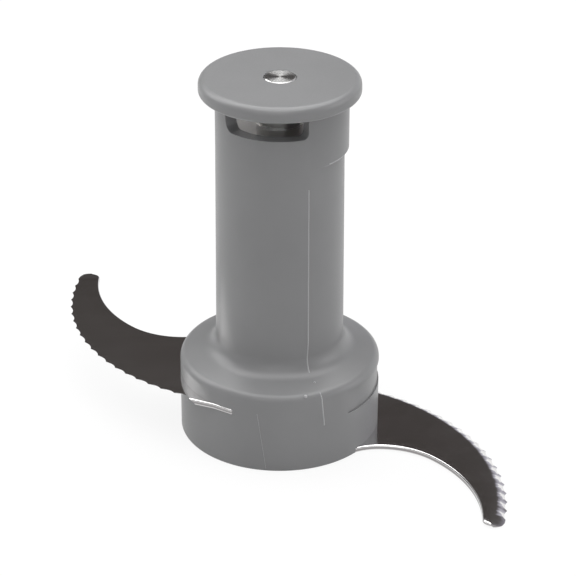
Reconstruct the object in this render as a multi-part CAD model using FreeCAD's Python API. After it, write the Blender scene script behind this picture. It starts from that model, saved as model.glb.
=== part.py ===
"""Food processor S-blade: a moulded hub with two serrated sickle blades, a turned drive bush and a cap.

Millimetres, +Z up. The origin is on the spindle axis, in the plane that the hub stands on.
Azimuths are in degrees, counted from the front (-Y) towards the right (+X).
"""
import FreeCAD
import Part
import math
import os

# Hub, the grey moulding
base_radius = 27.0
base_foot_chamfer = 0.4
shoulder_height = 22.4
shoulder_slope = 14.6
shoulder_round = 2.2
tube_foot_radius = 17.2
tube_top_radius = 16.9
tube_foot_fillet = 5.0
tube_height = 98.5
post_bore_radius = 13.6
post_bore_chamfer = 0.8
top_bore_radius = 13.6
top_bore_depth = 19.0

# Raised collar on the right and back of the tube, under the cap
collar_length = 15.5
collar_shift = 1.27
collar_azimuth = 115.0

# Window in the front left of the tube, under the cap
window_height = 6.7
window_start = -57.0
window_end = 26.0
window_left_round = 3.2
window_right_round = 1.7

# Web, boss and ribs that carry the drive bush inside the tube
web_thickness = 3.5
rib_pocket_height = 16.0
rib_step = 0.8
boss_wall = 3.0
boss_length = 15.0
rib_count = 6
rib_thickness = 1.8
rib_drop = 12.0

# Bare recess on the right of the base
recess_bottom = 13.8
recess_top = 20.6
recess_start = 43.0
recess_end = 102.0
recess_depth = 0.4

# Cap
cap_radius = 21.2
cap_thickness = 4.1
cap_top_round = 1.0
cap_rim_chamfer = 0.4
cap_clearance = 0.1
cap_spigot_wall = 2.0
cap_spigot_length = 3.4

# Drive bush, turned from stainless bar
bush_radius = 6.2
bush_stand = 0.5
bush_neck_radius = 4.3
bush_neck_clearance = 0.05
bush_shoulder_drop = 1.6
bush_chamfer = 0.4
bush_key_drop = 7.5
bush_key_width = 3.0
bush_key_depth = 0.6
ring_groove_count = 2
ring_groove_drop = 8.5
ring_groove_pitch = 2.4
ring_groove_depth = 0.4
ring_groove_width = 1.0
socket_radius = 4.0
socket_flat = 3.2
socket_depth = 22.0

# Blades
blade_thickness = 1.5
upper_blade_bottom = 15.8
lower_blade_bottom = 0.0
sweep_radius = 78.4
tip_corner_azimuth = 47.8
tip_inset = 1.4
tip_azimuth = 45.3
edge_radius = 61.0
edge_end_stand = 4.1
edge_end_azimuth = 120.8
back_line = 15.9
back_bend_start = 27.0
back_bend_radius = 20.0
back_bend_angle = 45.0
back_sweep_radius = 39.0
back_end_drop = 35.2
back_root_radius = 14.0
back_root_angle = 35.0

# Plain edge between the last tooth and the hub, and its slip along the hub's wall
root_edge_stand = 3.9
root_edge_azimuth = 125.2
root_meet_stand = 0.4
root_meet_azimuth = 140.0
root_slip_stand = 0.3
root_slip_azimuth = 152.0
root_turn_azimuth = 166.0

# Ground bevel, serrations and tip facet
bevel_width = 3.4
edge_land = 0.2
tooth_count = 19
tooth_pitch = 4.28
bevel_overrun = 0.25
scallop_radius = 6.2
scallop_depth = 0.62
scallop_rake = 33.0
scallop_skew = 22.0
tip_facet_length = 4.1
tip_facet_angle = 6.0

# Blade roots, hidden in the hub
root_hole_cover = 2.0
root_ring_width = 6.4
key_hole_count = 2
key_hole_radius = 1.6

# Worked out from the sizes above
cap_top = tube_height + cap_thickness
collar_bottom = tube_height - collar_length
window_sill = tube_height - window_height
web_top = tube_height - top_bore_depth
web_bottom = web_top - web_thickness
post_bore_depth = web_bottom - rib_pocket_height
rib_pocket_radius = post_bore_radius - rib_step
boss_bottom = web_bottom - boss_length
boss_radius = bush_radius + boss_wall
bush_start = boss_bottom - bush_stand
root_hole_radius = post_bore_radius + root_hole_cover
root_ring_radius = root_hole_radius + root_ring_width

# Chords that draw a small round, and how far a cutter runs past what it cuts
round_chords = 3
cut_margin = 1.0
tool_reach = 6.0

axis_z = FreeCAD.Vector(0, 0, 1)
origin = FreeCAD.Vector(0, 0, 0)


def polar(radius, angle, z=0.0):
    """Point at a radius and an angle from +X."""
    turn = math.radians(angle)
    return FreeCAD.Vector(radius * math.cos(turn), radius * math.sin(turn), z)


def from_front(azimuth):
    """Angle from +X of an azimuth that is counted from the front."""
    return azimuth - 90.0


def round_points(before, here, after, radius):
    """Points along a round of this radius at a corner, from one tangent point to the other."""
    back = (before - here).normalize()
    ahead = (after - here).normalize()
    half = back.getAngle(ahead) / 2
    centre = here + (back + ahead).normalize() * (radius / math.sin(half))
    first = here + back * (radius / math.tan(half)) - centre
    last = here + ahead * (radius / math.tan(half)) - centre
    turn = first.getAngle(last)
    points = []
    for i in range(round_chords + 1):
        share = i / round_chords
        along = first * math.sin((1 - share) * turn) + last * math.sin(share * turn)
        points.append(centre + along / math.sin(turn))
    return points


def profile(corners):
    """Closed face in the XZ plane through (r, z, round) corners."""
    places = [FreeCAD.Vector(r, 0, z) for r, z, _ in corners]
    points = []
    for i, (_, _, radius) in enumerate(corners):
        if radius > 0:
            points += round_points(places[i - 1], places[i], places[(i + 1) % len(places)], radius)
        else:
            points.append(places[i])
    return Part.Face(Part.makePolygon(points + points[:1]))


def turned(corners, start=0.0, span=360.0):
    """Solid of revolution about the spindle axis from (r, z, round) corners."""
    face = profile(corners)
    face.rotate(origin, axis_z, start)
    return face.revolve(origin, axis_z, span)


def cylinder(radius, bottom, top):
    return Part.makeCylinder(radius, top - bottom, FreeCAD.Vector(0, 0, bottom))


def outside():
    """Base, sloping shoulder and slightly tapered tube."""
    rise = (base_radius - tube_foot_radius) * math.tan(math.radians(shoulder_slope))
    return turned([
        (0, 0, 0),
        (base_radius - base_foot_chamfer, 0, 0),
        (base_radius, base_foot_chamfer, 0),
        (base_radius, shoulder_height, shoulder_round),
        (tube_foot_radius, shoulder_height + rise, tube_foot_fillet),
        (tube_top_radius, collar_bottom, 0),
        (tube_top_radius, tube_height, 0),
        (0, tube_height, 0),
    ])


def collar():
    """Half-round thickening: the tube's own circle, moved sideways."""
    centre = polar(collar_shift, from_front(collar_azimuth), collar_bottom)
    return Part.makeCylinder(tube_top_radius, tube_height - collar_bottom, centre)


def window():
    """Cutter for the window: an arc of the wall with its two lower corners rounded."""
    inner = top_bore_radius - cap_spigot_wall - cut_margin
    outer = tube_top_radius + collar_shift + cut_margin
    arc = turned([(inner, window_sill, 0), (outer, window_sill, 0),
                  (outer, tube_height, 0), (inner, tube_height, 0)],
                 from_front(window_start), window_end - window_start)
    for azimuth, radius in ((window_start, window_left_round), (window_end, window_right_round)):
        side = polar(outer, from_front(azimuth), window_sill)
        corner = [e for e in arc.Edges if isinstance(e.Curve, Part.Line)
                  and min(v.Point.distanceToPoint(side) for v in e.Vertexes) < cut_margin / 2
                  and max(v.Point.distanceToPoint(side) for v in e.Vertexes) < outer - inner + cut_margin / 2
                  and abs(e.Vertexes[0].Z - e.Vertexes[-1].Z) < cut_margin / 2]
        arc = arc.makeFillet(radius, corner)
    return arc


def recess():
    """Cutter for the shallow bare panel on the base."""
    inner = base_radius - recess_depth
    outer = base_radius + cut_margin
    return turned([(inner, recess_bottom, 0), (outer, recess_bottom, 0),
                   (outer, recess_top, 0), (inner, recess_top, 0)],
                  from_front(recess_start), recess_end - recess_start)


def inner_space():
    """Everything hollow inside the hub: post bore, ribbed pocket round the boss, and top bore."""
    post_bore = cylinder(post_bore_radius, 0, post_bore_depth)
    mouth = Part.makeCone(post_bore_radius + post_bore_chamfer, post_bore_radius, post_bore_chamfer)
    pocket = cylinder(rib_pocket_radius, post_bore_depth, web_bottom)
    pocket = pocket.cut(cylinder(boss_radius, boss_bottom, web_bottom))
    for i in range(rib_count):
        rib = Part.makeBox(rib_pocket_radius, rib_thickness, rib_drop)
        rib.translate(FreeCAD.Vector(0, -rib_thickness / 2, web_bottom - rib_drop))
        rib.rotate(origin, axis_z, i * 360.0 / rib_count)
        pocket = pocket.cut(rib)
    top_bore = cylinder(top_bore_radius, web_top, tube_height)
    return [post_bore.fuse(mouth), pocket, top_bore]


def bush_body():
    """Outside of the turned bush: key groove in the boss, ring grooves in the window, neck in the cap."""
    shoulder = tube_height - bush_shoulder_drop
    corners = [(0, bush_start, 0), (bush_radius - bush_chamfer, bush_start, 0),
               (bush_radius, bush_start + bush_chamfer, 0)]
    key_top = web_top - bush_key_drop
    key_bottom = key_top - bush_key_width
    key_radius = bush_radius - bush_key_depth
    corners += [(bush_radius, key_bottom, 0), (key_radius, key_bottom, 0),
                (key_radius, key_top, 0), (bush_radius, key_top, 0)]
    for i in range(ring_groove_count):
        low = tube_height - ring_groove_drop + i * ring_groove_pitch
        corners += [(bush_radius, low, 0), (bush_radius - ring_groove_depth, low + ring_groove_width / 2, 0),
                    (bush_radius, low + ring_groove_width, 0)]
    corners += [(bush_radius, shoulder - bush_chamfer, 0), (bush_radius - bush_chamfer, shoulder, 0),
                (bush_neck_radius, shoulder, 0), (bush_neck_radius, cap_top - bush_chamfer, 0),
                (bush_neck_radius - bush_chamfer, cap_top, 0), (0, cap_top, 0)]
    return turned(corners)


def drive_bush():
    """Bush with its D-shaped socket for the machine's spindle."""
    socket = cylinder(socket_radius, bush_start, bush_start + socket_depth)
    flat = Part.makeBox(socket_radius, 2 * socket_radius, socket_depth)
    flat.translate(FreeCAD.Vector(socket_flat, -socket_radius, bush_start))
    mouth = Part.makeCone(socket_radius + bush_chamfer, socket_radius, bush_chamfer,
                          FreeCAD.Vector(0, 0, bush_start))
    return bush_body().cut(socket.cut(flat)).cut(mouth)


def edge_ends():
    """Where the cutting edge starts at the tip and where its last tooth ends."""
    tip_corner = polar(sweep_radius, from_front(tip_corner_azimuth))
    edge_end = polar(base_radius + edge_end_stand, from_front(edge_end_azimuth))
    return tip_corner, edge_end


def edge_circle():
    """Centre of the cutting edge's circle, and the angles of its two ends as seen from there."""
    tip_corner, edge_end = edge_ends()
    chord = edge_end - tip_corner
    across = FreeCAD.Vector(-chord.y, chord.x, 0).normalize()
    centre = tip_corner + chord / 2 + across * math.sqrt(edge_radius ** 2 - (chord.Length / 2) ** 2)
    angles = [math.degrees(math.atan2(p.y - centre.y, p.x - centre.x)) for p in (tip_corner, edge_end)]
    return centre, angles[0], angles[1]


def tooth_angle(place):
    """Angle on the edge's circle, so many tooth pitches from the tip's corner."""
    return edge_circle()[1] + math.degrees(place * tooth_pitch / edge_radius)


def blade_outline():
    """Plan of the right-hand blade: cutting edge, plain edge, root, hollow back and rounded tip."""
    tip_corner, edge_end = edge_ends()
    centre, first_angle, last_angle = edge_circle()
    edge_middle = centre + polar(edge_radius, (first_angle + last_angle) / 2)
    tip = polar(sweep_radius - tip_inset, from_front(tip_azimuth))
    bend_centre = FreeCAD.Vector(back_bend_start, -back_line - back_bend_radius, 0)
    bend_end = bend_centre + polar(back_bend_radius, back_bend_angle)
    bend_middle = bend_centre + polar(back_bend_radius, (90 + back_bend_angle) / 2)
    sweep_centre = bend_end - polar(back_sweep_radius, back_bend_angle)
    drop = back_line + back_end_drop + sweep_centre.y
    end_angle = -math.degrees(math.asin(drop / back_sweep_radius))
    back_tip = sweep_centre + polar(back_sweep_radius, end_angle)
    sweep_middle = sweep_centre + polar(back_sweep_radius, (back_bend_angle + end_angle) / 2)
    plain_start = polar(base_radius + root_edge_stand, from_front(root_edge_azimuth))
    plain_end = polar(base_radius + root_meet_stand, from_front(root_meet_azimuth))
    slip_end = polar(base_radius + root_slip_stand, from_front(root_slip_azimuth))
    ring_point = polar(root_ring_radius, from_front(root_turn_azimuth))
    crest = FreeCAD.Vector(back_bend_start, -back_line, 0)
    flare_centre = FreeCAD.Vector(back_bend_start, -back_line - back_root_radius, 0)
    flare_middle = flare_centre + polar(back_root_radius, 90 + back_root_angle / 2)
    flare_end = flare_centre + polar(back_root_radius, 90 + back_root_angle)
    return Part.Wire([
        Part.Arc(tip_corner, edge_middle, edge_end).toShape(),
        Part.makeLine(edge_end, plain_start),
        Part.makeLine(plain_start, plain_end),
        Part.makeLine(plain_end, slip_end),
        Part.makeLine(slip_end, ring_point),
        Part.makeLine(ring_point, origin),
        Part.makeLine(origin, flare_end),
        Part.Arc(flare_end, flare_middle, crest).toShape(),
        Part.Arc(crest, bend_middle, bend_end).toShape(),
        Part.Arc(bend_end, sweep_middle, back_tip).toShape(),
        Part.Arc(back_tip, tip, tip_corner).toShape(),
    ])


def blade_blank():
    """Flat plate with the ring that the hub is moulded round."""
    plate = Part.Face(blade_outline()).extrude(axis_z * blade_thickness)
    plate = plate.fuse(cylinder(root_ring_radius, 0, blade_thickness))
    plate = plate.cut(cylinder(root_hole_radius, 0, blade_thickness))
    key_circle = (root_ring_radius + root_hole_radius) / 2
    for i in range(key_hole_count):
        hole = cylinder(key_hole_radius, 0, blade_thickness)
        hole.translate(polar(key_circle, 90 + i * 360.0 / key_hole_count))
        plate = plate.cut(hole)
    return plate


def bevel_cutter():
    """Ring that grinds the serrated stretch down to a thin edge at the underside."""
    run = bevel_width / (blade_thickness - edge_land)
    top = blade_thickness + cut_margin
    low = -cut_margin
    corners = [(edge_radius - bevel_width - run, top, 0),
               (edge_radius + (edge_land - low) * run, low, 0),
               (edge_radius + tool_reach, low, 0),
               (edge_radius + tool_reach, top, 0)]
    start = tooth_angle(-1)
    ring = turned(corners, start, tooth_angle(tooth_count + bevel_overrun) - start)
    ring.translate(edge_circle()[0])
    return ring


def scallop_cutter(index):
    """Grinding wheel for one scallop, raked down through the bevel and skewed towards the tip."""
    skew = math.radians(scallop_skew)
    length = scallop_radius / math.sin(math.radians(scallop_rake))
    reach = edge_radius - scallop_depth + math.hypot(length * math.cos(skew), scallop_radius * math.sin(skew))
    wheel = Part.makeCylinder(scallop_radius, 4 * tool_reach, FreeCAD.Vector(0, 0, -2 * tool_reach))
    wheel.rotate(origin, FreeCAD.Vector(0, 1, 0), 90 + scallop_rake)
    wheel.rotate(origin, axis_z, -scallop_skew)
    wheel.translate(FreeCAD.Vector(reach, 0, 0))
    wheel.rotate(origin, axis_z, tooth_angle(index + 0.5))
    wheel.translate(edge_circle()[0])
    return wheel


def tip_facet_cutter():
    """Wedge that thins the end of the tip from the side without the bevel."""
    wedge = Part.makeBox(sweep_radius, 2 * tool_reach, tool_reach)
    wedge.translate(FreeCAD.Vector(0, -2 * tool_reach, -tool_reach))
    wedge.rotate(origin, FreeCAD.Vector(1, 0, 0), -tip_facet_angle)
    tip_reach = -polar(sweep_radius - tip_inset, from_front(tip_azimuth)).y
    wedge.translate(FreeCAD.Vector(0, tip_facet_length - tip_reach, 0))
    return wedge


def blade(bevel_below):
    """Serrated blade that points right, with its bevel ground on the top or on the underside."""
    plate = blade_blank().cut(tip_facet_cutter()).cut(bevel_cutter())
    for i in range(tooth_count):
        plate = plate.cut(scallop_cutter(i))
    if bevel_below:
        plate = plate.mirror(FreeCAD.Vector(0, 0, blade_thickness / 2), axis_z)
    return plate.removeSplitter()


def upper_blade():
    shape = blade(True)
    shape.rotate(origin, axis_z, 180)
    shape.translate(axis_z * upper_blade_bottom)
    return shape


def lower_blade():
    shape = blade(False)
    shape.translate(axis_z * lower_blade_bottom)
    return shape


def hub(inserts):
    """Moulding round the blades and the bush."""
    body = outside().fuse(collar())
    for cutter in inner_space() + [window(), recess()] + inserts:
        body = body.cut(cutter)
    return body.removeSplitter()


def cap():
    """Disc that closes the tube: a spigot in the tube's bore, open at the window, and the neck's hole."""
    disc = turned([(0, tube_height, 0), (cap_radius - cap_rim_chamfer, tube_height, 0),
                   (cap_radius, tube_height + cap_rim_chamfer, 0),
                   (cap_radius, cap_top, cap_top_round), (0, cap_top, 0)])
    spigot_radius = top_bore_radius - cap_clearance
    spigot_end = tube_height - cap_spigot_length
    spigot = cylinder(spigot_radius, spigot_end, tube_height)
    spigot = spigot.cut(cylinder(spigot_radius - cap_spigot_wall, spigot_end, tube_height))
    hole = cylinder(bush_neck_radius + bush_neck_clearance, tube_height, cap_top)
    return disc.fuse(spigot.cut(window())).cut(hole).removeSplitter()


def export(name, shape):
    solid = shape.Solids[0]
    print(name, "solids", len(shape.Solids), "valid", shape.isValid(), "volume", round(shape.Volume, 1))
    solid.exportStep("parts/" + name + ".step")


def main():
    os.makedirs("parts", exist_ok=True)
    upper = upper_blade()
    lower = lower_blade()
    export("upper_blade", upper)
    export("lower_blade", lower)
    export("drive_bush", drive_bush())
    export("cap", cap())
    export("hub", hub([upper, lower, bush_body()]))


main()
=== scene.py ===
import bpy
import bmesh
import math
from mathutils import Matrix, Vector


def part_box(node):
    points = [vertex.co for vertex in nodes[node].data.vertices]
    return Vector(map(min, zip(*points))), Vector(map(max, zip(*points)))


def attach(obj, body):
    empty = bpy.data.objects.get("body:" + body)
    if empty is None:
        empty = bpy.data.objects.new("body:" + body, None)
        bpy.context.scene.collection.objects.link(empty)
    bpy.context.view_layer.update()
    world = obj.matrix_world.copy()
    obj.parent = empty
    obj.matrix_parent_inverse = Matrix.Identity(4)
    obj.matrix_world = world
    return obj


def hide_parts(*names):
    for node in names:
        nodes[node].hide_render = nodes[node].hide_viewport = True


# Serrated S-blade of a food processor: dressed hub, cap, blades and drive bush.
# Metres, +Z up. Azimuths are in degrees from the front (-Y) towards the right (+X).

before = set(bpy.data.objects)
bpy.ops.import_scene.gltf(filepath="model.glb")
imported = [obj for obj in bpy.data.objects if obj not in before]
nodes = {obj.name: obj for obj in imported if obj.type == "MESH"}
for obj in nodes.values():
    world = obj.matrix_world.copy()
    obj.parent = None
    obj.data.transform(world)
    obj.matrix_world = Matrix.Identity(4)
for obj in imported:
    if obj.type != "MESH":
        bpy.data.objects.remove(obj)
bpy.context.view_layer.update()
mm = 0.001
weld = 0.002 * mm   # points nearer than this are one
hair = 0.01 * mm    # heights nearer than this are level
margin = 0.1 * mm   # slack when points and faces are picked by their place
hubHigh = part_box("hub")[1]
capLow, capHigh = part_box("cap")
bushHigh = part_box("drive_bush")[1]
spigotDrop = hubHigh.z - capLow.z
print("frame loaded")


def polar(radius, azimuth, z=0.0):
    turn = math.radians(azimuth - 90)
    return Vector((radius * math.cos(turn), radius * math.sin(turn), z))


def between(first, last, share):
    return first + (last - first) * share


def roundOff(before, corner, after, radius, steps):
    # points of a fillet between two straight runs, in the (r, z) plane
    back = (Vector(before) - Vector(corner)).normalized()
    ahead = (Vector(after) - Vector(corner)).normalized()
    half = back.angle(ahead) / 2
    centre = Vector(corner) + (back + ahead).normalized() * radius / math.sin(half)
    first = Vector(corner) + back * radius / math.tan(half) - centre
    last = Vector(corner) + ahead * radius / math.tan(half) - centre
    return [centre + first.slerp(last, i / steps) * radius for i in range(steps + 1)]


def outline(corners, steps):
    # (r, z, fillet) corners to (r, z) points, with every fillet rounded
    points = []
    for i, (r, z, fillet) in enumerate(corners):
        if fillet > 0:
            before, after = corners[i - 1][:2], corners[(i + 1) % len(corners)][:2]
            points += roundOff(before, (r, z), after, fillet, steps)
        else:
            points.append(Vector((r, z)))
    return points


def subdivided(points, longest):
    # long straight runs get extra points, so that the faces stay short
    dense = []
    for i, point in enumerate(points):
        following = points[(i + 1) % len(points)]
        parts = max(1, math.ceil((following - point).length / longest))
        dense += [point.lerp(following, k / parts) for k in range(parts)]
    return dense


def turnedShape(points, steps, start=0.0, span=360.0):
    # closed (r, z) outline spun about the spindle axis
    bm = bmesh.new()
    verts = [bm.verts.new((p[0], 0, p[1])) for p in points]
    edges = [bm.edges.new((verts[i], verts[(i + 1) % len(verts)])) for i in range(len(verts))]
    bmesh.ops.rotate(bm, verts=verts, cent=(0, 0, 0),
                     matrix=Matrix.Rotation(math.radians(start - 90), 3, "Z"))
    full = span >= 360
    bmesh.ops.spin(bm, geom=verts + edges, cent=(0, 0, 0), axis=(0, 0, 1), angle=math.radians(span),
                   steps=steps, use_merge=full, use_duplicate=False)
    if not full:
        ends = [e for e in bm.edges if e.is_boundary]
        bmesh.ops.holes_fill(bm, edges=ends, sides=0)
    bmesh.ops.remove_doubles(bm, verts=bm.verts, dist=weld)
    bmesh.ops.recalc_face_normals(bm, faces=bm.faces)
    return bm


def joinRings(bm, rings):
    # a closed skin over rings of points, one behind the other
    for ring, following in zip(rings, rings[1:]):
        for i in range(len(ring)):
            k = (i + 1) % len(ring)
            bm.faces.new((ring[i], ring[k], following[k], following[i]))
    bm.faces.new(rings[0])
    bm.faces.new(rings[-1])


def newObject(name, bm):
    mesh = bpy.data.meshes.new(name)
    bm.to_mesh(mesh)
    bm.free()
    piece = bpy.data.objects.new(name, mesh)
    bpy.context.scene.collection.objects.link(piece)
    return piece


def combine(piece, tool, operation):
    # boolean with a tool that is used up
    change = piece.modifiers.new("combine", "BOOLEAN")
    change.object = tool
    change.operation = operation
    change.solver = "EXACT"
    bpy.context.view_layer.update()
    graph = bpy.context.evaluated_depsgraph_get()
    made = bpy.data.meshes.new_from_object(piece.evaluated_get(graph))
    piece.modifiers.clear()
    piece.data = made
    bpy.data.objects.remove(tool)


def smoothed(piece, angle):
    # smooth faces, with edges sharper than the angle kept crisp
    bm = bmesh.new()
    bm.from_mesh(piece.data)
    for face in bm.faces:
        face.smooth = True
    for edge in bm.edges:
        edge.smooth = len(edge.link_faces) == 2 and edge.calc_face_angle(0) < math.radians(angle)
    bm.to_mesh(piece.data)
    bm.free()
    normals = piece.modifiers.new("even normals", "WEIGHTED_NORMAL")
    normals.keep_sharp = True


def finished(piece, material, node=None):
    piece.data.materials.clear()
    piece.data.materials.append(material)
    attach(piece, "root")
    if node:
        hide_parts(node)


# Materials

def startMaterial(name):
    material = bpy.data.materials.new(name)
    material.use_nodes = True
    tree = material.node_tree
    shader = next(n for n in tree.nodes if n.type == "BSDF_PRINCIPLED")
    place = tree.nodes.new("ShaderNodeTexCoord")
    return material, tree, shader, place.outputs["Object"]


def noise(tree, place, scale, detail, roughness=0.5, stretch=(1, 1, 1)):
    mapping = tree.nodes.new("ShaderNodeMapping")
    mapping.inputs["Scale"].default_value = stretch
    tree.links.new(place, mapping.inputs["Vector"])
    texture = tree.nodes.new("ShaderNodeTexNoise")
    texture.inputs["Scale"].default_value = scale
    texture.inputs["Detail"].default_value = detail
    texture.inputs["Roughness"].default_value = roughness
    tree.links.new(mapping.outputs["Vector"], texture.inputs["Vector"])
    return texture.outputs["Fac"]


def ramp(tree, value, low, high, fromMin=0.3, fromMax=0.7):
    # a value spread between two numbers
    node = tree.nodes.new("ShaderNodeMapRange")
    node.inputs["From Min"].default_value = fromMin
    node.inputs["From Max"].default_value = fromMax
    node.inputs["To Min"].default_value = low
    node.inputs["To Max"].default_value = high
    tree.links.new(value, node.inputs["Value"])
    return node.outputs["Result"]


def blendColours(tree, share, first, second):
    # either colour may be a fixed one or another node's
    node = tree.nodes.new("ShaderNodeMix")
    node.data_type = "RGBA"
    for socket, colour in (("A", first), ("B", second)):
        target = next(s for s in node.inputs if s.name == socket and s.type == "RGBA")
        if isinstance(colour, bpy.types.NodeSocket):
            tree.links.new(colour, target)
        else:
            target.default_value = (*colour, 1)
    tree.links.new(share, node.inputs["Factor"])
    return next(s for s in node.outputs if s.type == "RGBA")


def bump(tree, height, strength, distance):
    node = tree.nodes.new("ShaderNodeBump")
    node.inputs["Strength"].default_value = strength
    node.inputs["Distance"].default_value = distance
    tree.links.new(height, node.inputs["Height"])
    return node.outputs["Normal"]


plastic = {
    "colour": (0.150, 0.151, 0.153),
    "paleColour": (0.166, 0.167, 0.169),
    # the seam colours are paler than the moulding: a painted highlight along the seam ridges, the collar's
    # step and the nubs
    "seamHighlightColour": (0.29, 0.29, 0.295),
    "seamHighlightPaleColour": (0.32, 0.32, 0.325),
    # the inner colours are far paler than the moulding: painted light on the bore and the cap's spigot,
    # seen through the window
    "innerPaintedLightColour": (0.42, 0.41, 0.405),
    "innerPaintedLightPaleColour": (0.48, 0.47, 0.465),
    "roughness": (0.31, 0.39),
    "refraction": 1.49,
    "grainScale": 2600.0,   # fine moulded texture, about 0.4 mm
    "grainDetail": 2,
    "grainStrength": 0.35,
    "grainDepth": 0.010 * mm,
    "cloudScale": 45.0,     # slow change of tone, about 22 mm
    "cloudDetail": 4,
}


def mouldedGrey(name, colour, paleColour):
    material, tree, shader, place = startMaterial(name)
    clouds = noise(tree, place, plastic["cloudScale"], plastic["cloudDetail"])
    grain = noise(tree, place, plastic["grainScale"], plastic["grainDetail"])
    colour = blendColours(tree, ramp(tree, clouds, 0, 1), colour, paleColour)
    tree.links.new(colour, shader.inputs["Base Color"])
    tree.links.new(ramp(tree, grain, *plastic["roughness"]), shader.inputs["Roughness"])
    dents = bump(tree, grain, plastic["grainStrength"], plastic["grainDepth"])
    tree.links.new(dents, shader.inputs["Normal"])
    shader.inputs["IOR"].default_value = plastic["refraction"]
    return material


steel = {
    "colour": (0.76, 0.75, 0.745),
    "paleColour": (0.84, 0.83, 0.83),
    # upright walls take a darker steel colour, a painted shade along the plate's edges
    "edgeShadeColour": (0.30, 0.29, 0.29),
    "edgeShadeLimits": (0.02, 0.2),       # a normal's height, painted shade below and polished above
    "roughness": (0.09, 0.13),
    "cloudScale": 60,
    "cloudDetail": 4,
    "scratchScale": 900.0,
    "scratchDetail": 3,
    "scratchRoughness": 0.6,
    "scratchStretch": (0.06, 1, 1),     # drawn out along X
    "scratchStrength": 0.25,
    "scratchDepth": 0.004 * mm,
}


def bladeSteel():
    material, tree, shader, place = startMaterial("bladeSteel")
    clouds = noise(tree, place, steel["cloudScale"], steel["cloudDetail"])
    scratches = noise(tree, place, steel["scratchScale"], steel["scratchDetail"],
                      steel["scratchRoughness"], steel["scratchStretch"])
    colour = blendColours(tree, ramp(tree, clouds, 0, 1), steel["colour"], steel["paleColour"])
    # upright walls get a darker colour, a painted shade along the plate's edges: their own normal's height
    # picks them out
    facing = tree.nodes.new("ShaderNodeNewGeometry")
    parts = tree.nodes.new("ShaderNodeSeparateXYZ")
    tree.links.new(facing.outputs["Normal"], parts.inputs[0])
    upright = tree.nodes.new("ShaderNodeMath")
    upright.operation = "ABSOLUTE"
    tree.links.new(parts.outputs["Z"], upright.inputs[0])
    edgeShade = ramp(tree, upright.outputs[0], 1, 0, *steel["edgeShadeLimits"])
    colour = blendColours(tree, edgeShade, colour, steel["edgeShadeColour"])
    tree.links.new(colour, shader.inputs["Base Color"])
    tree.links.new(ramp(tree, scratches, *steel["roughness"]), shader.inputs["Roughness"])
    dents = bump(tree, scratches, steel["scratchStrength"], steel["scratchDepth"])
    tree.links.new(dents, shader.inputs["Normal"])
    shader.inputs["Metallic"].default_value = 1.0
    return material


lathe = {
    "colour": (0.62, 0.62, 0.61),
    "roughness": (0.22, 0.34),
    "stretch": 0.85,        # how far the tool's rings draw a highlight out
    "stretchTurn": 0.25,    # share of a full turn
    "ringScale": 1500.0,
    "ringDistortion": 0.6,
    "ringDetail": 2.0,
    "ringStrength": 0.3,
    "ringDepth": 0.004 * mm,
}


def turnedSteel():
    material, tree, shader, place = startMaterial("turnedSteel")
    rings = tree.nodes.new("ShaderNodeTexWave")
    rings.wave_type = "RINGS"
    rings.rings_direction = "Z"
    rings.inputs["Scale"].default_value = lathe["ringScale"]
    rings.inputs["Distortion"].default_value = lathe["ringDistortion"]
    rings.inputs["Detail"].default_value = lathe["ringDetail"]
    tree.links.new(place, rings.inputs["Vector"])
    shader.inputs["Base Color"].default_value = (*lathe["colour"], 1)
    shader.inputs["Metallic"].default_value = 1.0
    shader.inputs["Anisotropic"].default_value = lathe["stretch"]
    shader.inputs["Anisotropic Rotation"].default_value = lathe["stretchTurn"]
    tangent = tree.nodes.new("ShaderNodeTangent")
    tangent.direction_type = "RADIAL"
    tangent.axis = "Z"
    tree.links.new(tangent.outputs["Tangent"], shader.inputs["Tangent"])
    roughness = ramp(tree, rings.outputs["Fac"], *lathe["roughness"], 0, 1)
    tree.links.new(roughness, shader.inputs["Roughness"])
    dents = bump(tree, rings.outputs["Fac"], lathe["ringStrength"], lathe["ringDepth"])
    tree.links.new(dents, shader.inputs["Normal"])
    return material


greyPlastic = mouldedGrey("mouldedGrey", plastic["colour"], plastic["paleColour"])
# seam ridges and nubs: a painted highlight in a paler grey
seamPaintedHighlight = mouldedGrey("seamPaintedHighlight", plastic["seamHighlightColour"], plastic["seamHighlightPaleColour"])
# bore and spigot: painted light, a much paler grey
paintedLightBore = mouldedGrey("paintedLightBore", plastic["innerPaintedLightColour"], plastic["innerPaintedLightPaleColour"])
polishedSteel = bladeSteel()
latheSteel = turnedSteel()
print("materials ready")


# Hub

hub = {
    "steps": 192,
    "filletSteps": 8,
    "crispAngle": 24,       # degrees, edges sharper than this stay crisp
    "longestFace": 2.5 * mm,
    "baseRadius": hubHigh.x,
    "footRound": 0.5 * mm,
    "shoulderHeight": 22.4 * mm,
    "shoulderSlope": 14.6,  # degrees
    "shoulderRound": 2.2 * mm,
    "tubeFootRadius": 17.2 * mm,
    "tubeTopRadius": 16.9 * mm,
    "tubeFootFillet": 5.0 * mm,
    "height": hubHigh.z,
    "collarLength": 15.5 * mm,
    "collarShift": 1.27 * mm,
    "collarAzimuth": 115.0,
    "collarStep": 0.7 * mm,
    "boreRadius": 13.6 * mm,
    "boreChamfer": 0.8 * mm,
    "topBoreDepth": 19.0 * mm,
    "webThickness": 3.5 * mm,
    "pocketHeight": 16.0 * mm,
    "pocketRadius": 12.8 * mm,  # the bore is this narrow round the boss
    "bossRadius": 9.2 * mm,
    "bossLength": 15.0 * mm,
    "ribCount": 6,
    "ribThickness": 1.8 * mm,
    "ribDrop": 12.0 * mm,
    "ribLap": 0.3 * mm,     # how far a rib sinks into its neighbours
    "edgeRound": 0.3 * mm,
}
webTop = hub["height"] - hub["topBoreDepth"]
webBottom = webTop - hub["webThickness"]
cutterPast = 1 * mm         # how far a cutter stands out of the wall it cuts


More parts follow.
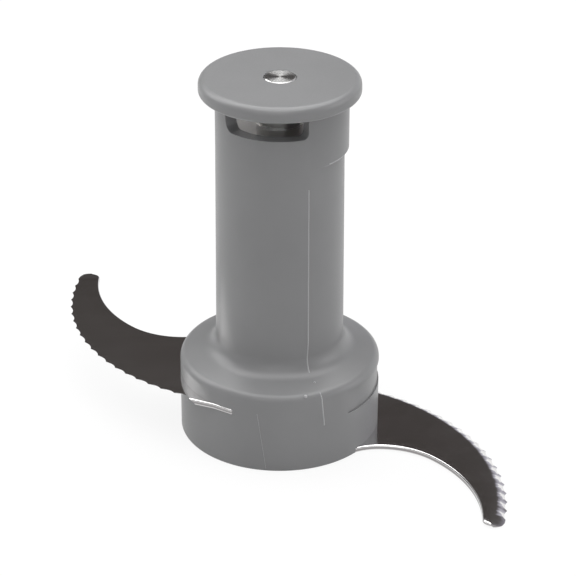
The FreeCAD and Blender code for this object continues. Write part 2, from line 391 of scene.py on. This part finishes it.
def hubProfile():
    # (r, z) outline of the moulding, round its wall and its bore
    slope = math.tan(math.radians(hub["shoulderSlope"]))
    rise = (hub["baseRadius"] - hub["tubeFootRadius"]) * slope
    boreTop = webBottom - hub["pocketHeight"]
    collarBottom = hub["height"] - hub["collarLength"]
    corners = [
        (hub["boreRadius"] + hub["boreChamfer"], 0, 0),
        (hub["baseRadius"], 0, hub["footRound"]),
        (hub["baseRadius"], hub["shoulderHeight"], hub["shoulderRound"]),
        (hub["tubeFootRadius"], hub["shoulderHeight"] + rise, hub["tubeFootFillet"]),
        # the collar's step is raised from these three points
        (hub["tubeTopRadius"], collarBottom - hub["collarStep"] / 2, 0),
        (hub["tubeTopRadius"], collarBottom, 0),
        (hub["tubeTopRadius"], collarBottom + hub["collarStep"] / 2, 0),
        (hub["tubeTopRadius"], hub["height"], hub["edgeRound"]),
        (hub["boreRadius"], hub["height"], 0),
        (hub["boreRadius"], webTop, 0),
        (bushHigh.x, webTop, 0),
        (bushHigh.x, webBottom - hub["bossLength"], 0),
        (hub["bossRadius"], webBottom - hub["bossLength"], hub["edgeRound"]),
        (hub["bossRadius"], webBottom, 0),
        (hub["pocketRadius"], webBottom, 0),
        (hub["pocketRadius"], boreTop, 0),
        (hub["boreRadius"], boreTop, 0),
        (hub["boreRadius"], hub["boreChamfer"], 0),
    ]
    return subdivided(outline(corners, hub["filletSteps"]), hub["longestFace"])


def collarReach(ahead):
    # wall radius of the raised collar in a level direction: the tube's circle, moved sideways
    shift = polar(hub["collarShift"], hub["collarAzimuth"])
    along = ahead.dot(shift)
    across = shift.length_squared - along * along
    return along + math.sqrt(hub["tubeTopRadius"] ** 2 - across)


def raiseCollar(bm):
    # the wall above the step goes out to the collar wherever that is wider than the tube
    wall = hub["tubeTopRadius"]
    stepStart = hub["height"] - hub["collarLength"] - hub["collarStep"] / 2
    for vert in bm.verts:
        flat = Vector((vert.co.x, vert.co.y, 0))
        if vert.co.z < stepStart + hair or flat.length < wall - hub["edgeRound"] - margin:
            continue
        ahead = flat.normalized()
        share = min(1.0, (vert.co.z - stepStart) / hub["collarStep"])
        rise = (max(wall, collarReach(ahead)) - wall) * share
        vert.co = ahead * (flat.length + rise) + Vector((0, 0, vert.co.z))


window = {
    "start": -55.5,
    "end": 26.0,
    "height": 6.7 * mm,
    "leftRound": 8.6,       # degrees round the wall
    "leftRise": 3.6 * mm,
    "rightRound": 5.4,
    "rightRise": 1.8 * mm,
    "inner": 10.5 * mm,
    "outer": 20.0 * mm,
    "roundSteps": 10,
    "sillSteps": 40,
}


def sillLine():
    # (azimuth, z) places along the sill, with an elliptic round at each end
    sill = hub["height"] - window["height"]
    places = []
    for i in range(window["roundSteps"] + 1):
        turn = math.pi / 2 * i / window["roundSteps"]
        places.append((window["start"] + window["leftRound"] * (1 - math.cos(turn)),
                       sill + window["leftRise"] * (1 - math.sin(turn))))
    first, last = places[-1][0], window["end"] - window["rightRound"]
    for i in range(1, window["sillSteps"]):
        places.append((between(first, last, i / window["sillSteps"]), sill))
    for i in range(window["roundSteps"] + 1):
        turn = math.pi / 2 * i / window["roundSteps"]
        places.append((last + window["rightRound"] * math.sin(turn),
                       sill + window["rightRise"] * (1 - math.cos(turn))))
    return places


def windowTool():
    # a slice of the wall above the sill, in columns side by side
    top = hub["height"] + cutterPast
    bm = bmesh.new()
    columns = []
    for azimuth, low in sillLine():
        corners = [(window["inner"], low), (window["outer"], low),
                   (window["outer"], top), (window["inner"], top)]
        columns.append([bm.verts.new(polar(radius, azimuth, z)) for radius, z in corners])
    joinRings(bm, columns)
    bmesh.ops.recalc_face_normals(bm, faces=bm.faces)
    return newObject("windowTool", bm)


recess = {
    "start": 43.0,
    "end": 102.0,
    "bottom": 13.8 * mm,
    "top": 20.4 * mm,
    "depth": 0.4 * mm,
    "steps": 40,
}


def recessTool():
    # part of a ring that stands into the wall by the recess's depth
    inner, outer = hub["baseRadius"] - recess["depth"], hub["baseRadius"] + cutterPast
    points = [(inner, recess["bottom"]), (outer, recess["bottom"]),
              (outer, recess["top"]), (inner, recess["top"])]
    span = recess["end"] - recess["start"]
    return newObject("recessTool", turnedShape(points, recess["steps"], recess["start"], span))


def bladeTool(node, drop):
    # the blade's own plate as a cutter, carried down by a drop where it lies open below
    bm = bmesh.new()
    bm.from_mesh(nodes[node].data)
    bmesh.ops.remove_doubles(bm, verts=bm.verts, dist=weld)
    low = min(v.co.z for v in bm.verts)
    for vert in bm.verts:
        if vert.co.z < low + hair:
            vert.co.z -= drop
    bmesh.ops.recalc_face_normals(bm, faces=bm.faces)
    return newObject(node + "Tool", bm)


def addRibs(bm):
    # ribs from the boss to the pocket's wall, under the web
    lap = hub["ribLap"]
    length = hub["pocketRadius"] - hub["bossRadius"] + 2 * lap
    middle = (hub["pocketRadius"] + hub["bossRadius"]) / 2
    for i in range(hub["ribCount"]):
        made = bmesh.ops.create_cube(bm, size=1.0)["verts"]
        bmesh.ops.scale(bm, verts=made, vec=(length, hub["ribThickness"], hub["ribDrop"] + lap))
        bmesh.ops.translate(bm, verts=made, vec=(middle, 0, webBottom - (hub["ribDrop"] - lap) / 2))
        turn = Matrix.Rotation(2 * math.pi * i / hub["ribCount"], 3, "Z")
        bmesh.ops.rotate(bm, verts=made, cent=(0, 0, 0), matrix=turn)


seam = {
    "height": 0.15 * mm,
    "width": 0.66 * mm,
    "sink": 0.15 * mm,
    "crispAngle": 60,
    "stepLength": 0.72 * mm,
    "mainAzimuth": 26.3,
    "mainBottom": 12.8 * mm,
    "mainTop": 77.5 * mm,
    "bendAzimuth": 24.2,
    "bendHeight": 23.0 * mm,
    "bendReach": 10 * mm,
    "gapBottom": 22.5 * mm,     # the main line fades out on the shoulder
    "gapTop": 24.9 * mm,
    "branchFootAzimuth": -7.5,
    "branchAzimuth": -12.5,
    "branchBottom": 0.8 * mm,
    "branchTop": 17.4 * mm,
    "branchSteps": 12,
    "branchShare": 0.45,        # height and width, beside the main line's
    # the nubs are small bumps in the seams' paler colour, painted highlights on the shoulder
    "nubs": [(15.3, 22.3 * mm, 0.45 * mm), (24.6, 23.6 * mm, 0.32 * mm)],   # azimuth, z, radius
    "nubSegments": 12,
    "nubRings": 8,
    "collarStart": 47.0,
    "collarEnd": 70.0,
    "collarSteps": 24,
}


def wallRadius(z):
    # outer radius of the hub at a height, read off its own outline
    outside = hub["boreRadius"] + hub["boreChamfer"] + margin
    points = hubProfile()
    best = 0
    for i, point in enumerate(points):
        following = points[(i + 1) % len(points)]
        if point.x > outside and following.x > outside:
            low, high = sorted((point.y, following.y))
            if low <= z <= high and high > low:
                best = max(best, between(point.x, following.x, (z - point.y) / (following.y - point.y)))
    return best


def seamStrip(bm, places, size=1.0):
    # a low ridge with a triangular back along (azimuth, z) places on the wall
    rings = []
    for azimuth, z in places:
        radius = wallRadius(z)
        foot = radius - seam["sink"]
        lean = math.degrees(seam["width"] * size / 2 / radius)
        spots = [(foot, azimuth - lean), (radius + seam["height"] * size, azimuth), (foot, azimuth + lean)]
        rings.append([bm.verts.new(polar(r, a, z)) for r, a in spots])
    joinRings(bm, rings)


def collarStrip(bm):
    # the same ridge along the collar's lower edge, whose paler seam colour paints a highlight along the
    # step
    level = hub["height"] - hub["collarLength"] + hub["collarStep"] / 2
    half = seam["width"] / 2
    rings = []
    for i in range(seam["collarSteps"] + 1):
        azimuth = between(seam["collarStart"], seam["collarEnd"], i / seam["collarSteps"])
        reach = collarReach(polar(1.0, azimuth))
        foot = reach - seam["sink"]
        spots = [(foot, level - half), (reach + seam["height"], level), (foot, level + half)]
        rings.append([bm.verts.new(polar(r, azimuth, z)) for r, z in spots])
    joinRings(bm, rings)


def mainPlace(z):
    # the main line swings a little to the left where it crosses the shoulder
    away = min(1.0, abs(z - seam["bendHeight"]) / seam["bendReach"])
    return between(seam["bendAzimuth"], seam["mainAzimuth"], away), z


def branchPlace(share):
    # the branch is a slanted line on the base
    return (between(seam["branchFootAzimuth"], seam["branchAzimuth"], share),
            between(seam["branchBottom"], seam["branchTop"], share))


def buildSeams():
    bm = bmesh.new()
    collarStrip(bm)
    for bottom, top in ((seam["mainBottom"], seam["gapBottom"]), (seam["gapTop"], seam["mainTop"])):
        count = round((top - bottom) / seam["stepLength"])
        seamStrip(bm, [mainPlace(between(bottom, top, i / count)) for i in range(count + 1)])
    for azimuth, z, radius in seam["nubs"]:
        spot = polar(wallRadius(z), azimuth, z)
        bmesh.ops.create_uvsphere(bm, u_segments=seam["nubSegments"], v_segments=seam["nubRings"],
                                  radius=radius, matrix=Matrix.Translation(spot))
    count = seam["branchSteps"]
    seamStrip(bm, [branchPlace(i / count) for i in range(count + 1)], seam["branchShare"])
    bmesh.ops.recalc_face_normals(bm, faces=bm.faces)
    return newObject("mould_seams", bm)


def buildHub():
    bm = turnedShape(hubProfile(), hub["steps"])
    raiseCollar(bm)
    piece = newObject("hub_moulding", bm)
    combine(piece, windowTool(), "DIFFERENCE")
    combine(piece, recessTool(), "DIFFERENCE")
    combine(piece, bladeTool("lower_blade", cutterPast), "DIFFERENCE")
    combine(piece, bladeTool("upper_blade", 0), "DIFFERENCE")
    ribs = bmesh.new()
    addRibs(ribs)
    ribs.from_mesh(piece.data)
    ribs.to_mesh(piece.data)
    ribs.free()
    smoothed(piece, hub["crispAngle"])
    finished(piece, greyPlastic, "hub")
    piece.data.materials.append(paintedLightBore)
    # faces inside the bore above the web get the paler grey, painted light
    for face in piece.data.polygons:
        inBore = face.center.xy.length < hub["boreRadius"] + margin
        if inBore and face.center.z > webTop - margin:
            face.material_index = 1
    seams = buildSeams()
    smoothed(seams, seam["crispAngle"])
    # the seams take the paler grey, a painted highlight
    finished(seams, seamPaintedHighlight)
    print("hub built", len(piece.data.polygons))


buildHub()


# Cap

cap = {
    "steps": 192,
    "crispAngle": 32,
    "radius": capHigh.x,
    "top": capHigh.z,
    "underside": hubHigh.z,
    "topRound": 1.9 * mm,
    "rimRound": 0.9 * mm,
    "holeRadius": 4.35 * mm,
    "holeChamfer": 0.12 * mm,
    "spigotRadius": 13.5 * mm,
    "spigotWall": 2.0 * mm,
    "spigotInnerRound": 0.3 * mm,
    "spigotOuterRound": 0.4 * mm,
    "spigotRoundSteps": 3,
    "spigotSteps": 140,
    "spigotLap": 0.2 * mm,  # how far it stands into the disc
    "roundSteps": 6,
    "longestFace": 3 * mm,
}


def buildCap():
    disc = outline([
        (cap["holeRadius"], cap["underside"], 0),
        (cap["radius"], cap["underside"], cap["rimRound"]),
        (cap["radius"], cap["top"], cap["topRound"]),
        (cap["holeRadius"] + cap["holeChamfer"], cap["top"], 0),
        (cap["holeRadius"], cap["top"] - cap["holeChamfer"], 0),
    ], cap["roundSteps"])
    bm = turnedShape(subdivided(disc, cap["longestFace"]), cap["steps"])
    inner, outer = cap["spigotRadius"] - cap["spigotWall"], cap["spigotRadius"]
    low, high = cap["underside"] - spigotDrop, cap["underside"] + cap["spigotLap"]
    ring = outline([
        (inner, low, cap["spigotInnerRound"]),
        (outer, low, cap["spigotOuterRound"]),
        (outer, high, 0),
        (inner, high, 0),
    ], cap["spigotRoundSteps"])
    # the spigot leaves the window open
    spigot = turnedShape(ring, cap["spigotSteps"], window["end"], 360 - (window["end"] - window["start"]))
    holder = bpy.data.meshes.new("spigot")
    spigot.to_mesh(holder)
    spigot.free()
    bm.from_mesh(holder)
    bpy.data.meshes.remove(holder)
    piece = newObject("cap_disc", bm)
    smoothed(piece, cap["crispAngle"])
    finished(piece, greyPlastic, "cap")
    piece.data.materials.append(paintedLightBore)
    # the spigot's faces under the disc get the paler grey, painted light
    for face in piece.data.polygons:
        if face.center.z < cap["underside"] - margin:
            face.material_index = 1
    print("cap built", len(piece.data.polygons))


buildCap()


# Blades: the plates with their sheared edges rounded, and the bush as it is

blade = {
    "flatness": 0.6,        # degrees, faces nearer than this are one
    "edgeRound": 0.42 * mm,
    "roundSteps": 5,
    "faceRise": 0.98,       # a flat face's normal rises at least so far
    "wallRise": 0.1,        # and an upright wall's at most so far
    "tallWall": 0.9 * mm,   # serrated edges are lower than this and stay keen
    "crispAngle": 24,
}


def plateRim(bm):
    # edges between a flat face and an upright wall of nearly the plate's height, clear of the hub
    rim = []
    for edge in bm.edges:
        inHub = max(v.co.xy.length for v in edge.verts) < hub["baseRadius"]
        if len(edge.link_faces) != 2 or inHub:
            continue
        flat = [f for f in edge.link_faces if abs(f.normal.z) > blade["faceRise"]]
        upright = [f for f in edge.link_faces if abs(f.normal.z) < blade["wallRise"]]
        if len(flat) == 1 and len(upright) == 1:
            heights = [v.co.z for v in upright[0].verts]
            if max(heights) - min(heights) > blade["tallWall"]:
                rim.append(edge)
    return rim


def buildBlade(node, name):
    bm = bmesh.new()
    bm.from_mesh(nodes[node].data)
    bmesh.ops.remove_doubles(bm, verts=bm.verts, dist=weld)
    bmesh.ops.dissolve_limit(bm, angle_limit=math.radians(blade["flatness"]), verts=bm.verts,
                             edges=bm.edges, use_dissolve_boundaries=False)
    bmesh.ops.recalc_face_normals(bm, faces=bm.faces)
    bm.normal_update()
    bmesh.ops.bevel(bm, geom=plateRim(bm), offset=blade["edgeRound"], offset_type="OFFSET",
                    segments=blade["roundSteps"], profile=0.5, affect="EDGES", material=-1,
                    clamp_overlap=False)
    bmesh.ops.triangulate(bm, faces=[f for f in bm.faces if len(f.verts) > 4])
    piece = newObject(name, bm)
    smoothed(piece, blade["crispAngle"])
    finished(piece, polishedSteel, node)
    print(name, len(piece.data.polygons))


buildBlade("upper_blade", "upper_plate")
buildBlade("lower_blade", "lower_plate")
nodes["drive_bush"].data.materials.clear()
nodes["drive_bush"].data.materials.append(latheSteel)
print("blades built, bush dressed")


# Stage, light and camera

stage = {
    "floorSize": 6.0,
    "floorColour": (0.68, 0.68, 0.68),
    "floorRoughness": 0.9,
    "shadowShare": 0.12,    # how much of the floor's own shading the camera sees
}

# studio surroundings that the steel mirrors: a colour for a direction's height,
# which counts as lower towards the right and, a little, towards the back
surround = {
    "lean": (-0.9, -0.2, 1),
    "lift": 0.4,    # added to the height
    "bands": [
        (0.0, (1.0, 1.0, 1.0)),
        (0.025, (0.86, 0.86, 0.89)),
        (0.06, (0.55, 0.54, 0.60)),
        (0.16, (0.48, 0.47, 0.53)),
        (0.25, (0.36, 0.35, 0.39)),
        (0.325, (0.24, 0.23, 0.26)),
        (0.37, (0.09, 0.084, 0.082)),
        (0.70, (0.052, 0.045, 0.043)),
        (0.77, (0.066, 0.059, 0.056)),
        (0.90, (0.07, 0.066, 0.063)),
        (1.0, (0.40, 0.40, 0.40)),
    ],
}


def buildFloor():
    bm = bmesh.new()
    bmesh.ops.create_grid(bm, x_segments=1, y_segments=1, size=stage["floorSize"] / 2)
    floor = newObject("floor", bm)
    material = bpy.data.materials.new("paleFloor")
    material.use_nodes = True
    tree = material.node_tree
    shader = next(n for n in tree.nodes if n.type == "BSDF_PRINCIPLED")
    output = next(n for n in tree.nodes if n.type == "OUTPUT_MATERIAL")
    shader.inputs["Base Color"].default_value = (*stage["floorColour"], 1)
    shader.inputs["Roughness"].default_value = stage["floorRoughness"]
    shader.inputs["Specular IOR Level"].default_value = 0.0
    glow = tree.nodes.new("ShaderNodeEmission")
    path = tree.nodes.new("ShaderNodeLightPath")
    seen = tree.nodes.new("ShaderNodeMath")
    seen.operation = "MAXIMUM"
    tree.links.new(path.outputs["Is Camera Ray"], seen.inputs[0])
    tree.links.new(path.outputs["Is Glossy Ray"], seen.inputs[1])
    share = tree.nodes.new("ShaderNodeMath")
    share.operation = "MULTIPLY"
    share.inputs[1].default_value = 1 - stage["shadowShare"]
    tree.links.new(seen.outputs[0], share.inputs[0])
    mix = tree.nodes.new("ShaderNodeMixShader")
    tree.links.new(share.outputs[0], mix.inputs[0])
    tree.links.new(shader.outputs[0], mix.inputs[1])
    tree.links.new(glow.outputs[0], mix.inputs[2])
    tree.links.new(mix.outputs[0], output.inputs["Surface"])
    floor.data.materials.append(material)


def buildWorld():
    world = bpy.data.worlds.new("studio")
    bpy.context.scene.world = world
    world.use_nodes = True
    tree = world.node_tree
    background = next(n for n in tree.nodes if n.type == "BACKGROUND")
    output = next(n for n in tree.nodes if n.type == "OUTPUT_WORLD")
    place = tree.nodes.new("ShaderNodeTexCoord")
    height = tree.nodes.new("ShaderNodeVectorMath")
    height.operation = "DOT_PRODUCT"
    height.inputs[1].default_value = surround["lean"]
    tree.links.new(place.outputs["Generated"], height.inputs[0])
    bands = tree.nodes.new("ShaderNodeValToRGB")
    stops = bands.color_ramp.elements
    while len(stops) < len(surround["bands"]):
        stops.new(0.5)
    for stop, (level, colour) in zip(stops, surround["bands"]):
        stop.position = level
        stop.color = (*colour, 1)
    raised = tree.nodes.new("ShaderNodeMath")
    raised.operation = "ADD"
    raised.inputs[1].default_value = surround["lift"]
    tree.links.new(height.outputs["Value"], raised.inputs[0])
    tree.links.new(raised.outputs[0], bands.inputs["Fac"])
    tree.links.new(bands.outputs["Color"], background.inputs["Color"])
    white = tree.nodes.new("ShaderNodeBackground")
    white.inputs["Color"].default_value = (1, 1, 1, 1)
    path = tree.nodes.new("ShaderNodeLightPath")
    mix = tree.nodes.new("ShaderNodeMixShader")
    tree.links.new(path.outputs["Is Camera Ray"], mix.inputs[0])
    tree.links.new(background.outputs[0], mix.inputs[1])
    tree.links.new(white.outputs[0], mix.inputs[2])
    tree.links.new(mix.outputs[0], output.inputs["Surface"])


lampTarget = Vector((0, 0, 40 * mm))
lamps = {
    "topSoftbox": {"azimuth": 170, "elevation": 81, "distance": 0.9, "size": 1.4, "power": 15.5},
    "rightSoftbox": {"azimuth": 85, "elevation": 18, "distance": 0.9, "size": 0.5, "power": 1.0},
    "leftSoftbox": {"azimuth": -112, "elevation": 34, "distance": 0.9, "size": 0.65, "power": 3.2},
    "frontSoftbox": {"azimuth": -2, "elevation": 32, "distance": 1.0, "size": 1.2, "power": 3.2},
}


def addLamp(name, lamp):
    data = bpy.data.lights.new(name, "AREA")
    data.shape = "DISK"
    data.size = lamp["size"]
    data.energy = lamp["power"]
    light = bpy.data.objects.new(name, data)
    bpy.context.scene.collection.objects.link(light)
    rise = math.radians(lamp["elevation"])
    distance = lamp["distance"]
    away = polar(distance * math.cos(rise), lamp["azimuth"], distance * math.sin(rise))
    light.location = lampTarget + away
    light.rotation_euler = (-away).to_track_quat("-Z", "Y").to_euler()


# a small lamp under the cap, behind the bush, lights the bore that shows through the window
innerLamp = {
    "radius": 1.5 * mm,
    "azimuth": -155.0,
    "reach": 9.5 * mm,
    "drop": 3.5 * mm,
    "power": 0.003,
}


def addInnerLamp():
    data = bpy.data.lights.new("innerLamp", "POINT")
    data.shadow_soft_size = innerLamp["radius"]
    data.energy = innerLamp["power"]
    light = bpy.data.objects.new("innerLamp", data)
    bpy.context.scene.collection.objects.link(light)
    level = hub["height"] - innerLamp["drop"]
    light.location = polar(innerLamp["reach"], innerLamp["azimuth"], level)


shot = {
    "elevation": 27.97,
    "distance": 0.6964,
    "right": 2.21 * mm,
    "up": 36.29 * mm,
    "roll": -0.17,
    "lens": 157.7,
    "sensor": 36.0,
    "nearest": 10 * mm,
}


def buildCamera():
    tilt = math.radians(shot["elevation"])
    ahead = Vector((0, math.cos(tilt), -math.sin(tilt)))
    up = Vector((0, math.sin(tilt), math.cos(tilt)))
    data = bpy.data.cameras.new("photoCamera")
    data.lens = shot["lens"]
    data.sensor_width = shot["sensor"]
    data.clip_start = shot["nearest"]
    camera = bpy.data.objects.new("photoCamera", data)
    bpy.context.scene.collection.objects.link(camera)
    camera.location = Vector((shot["right"], 0, 0)) + up * shot["up"] - ahead * shot["distance"]
    camera.rotation_mode = "QUATERNION"
    roll = Matrix.Rotation(math.radians(shot["roll"]), 4, ahead)
    level = ahead.to_track_quat("-Z", "Y").to_matrix().to_4x4()
    camera.rotation_quaternion = (roll @ level).to_quaternion()
    bpy.context.scene.camera = camera


buildFloor()
buildWorld()
for lampName, lamp in lamps.items():
    addLamp(lampName, lamp)
addInnerLamp()
buildCamera()
bpy.context.scene.view_settings.view_transform = "Standard"
print("stage, lamps and camera set")
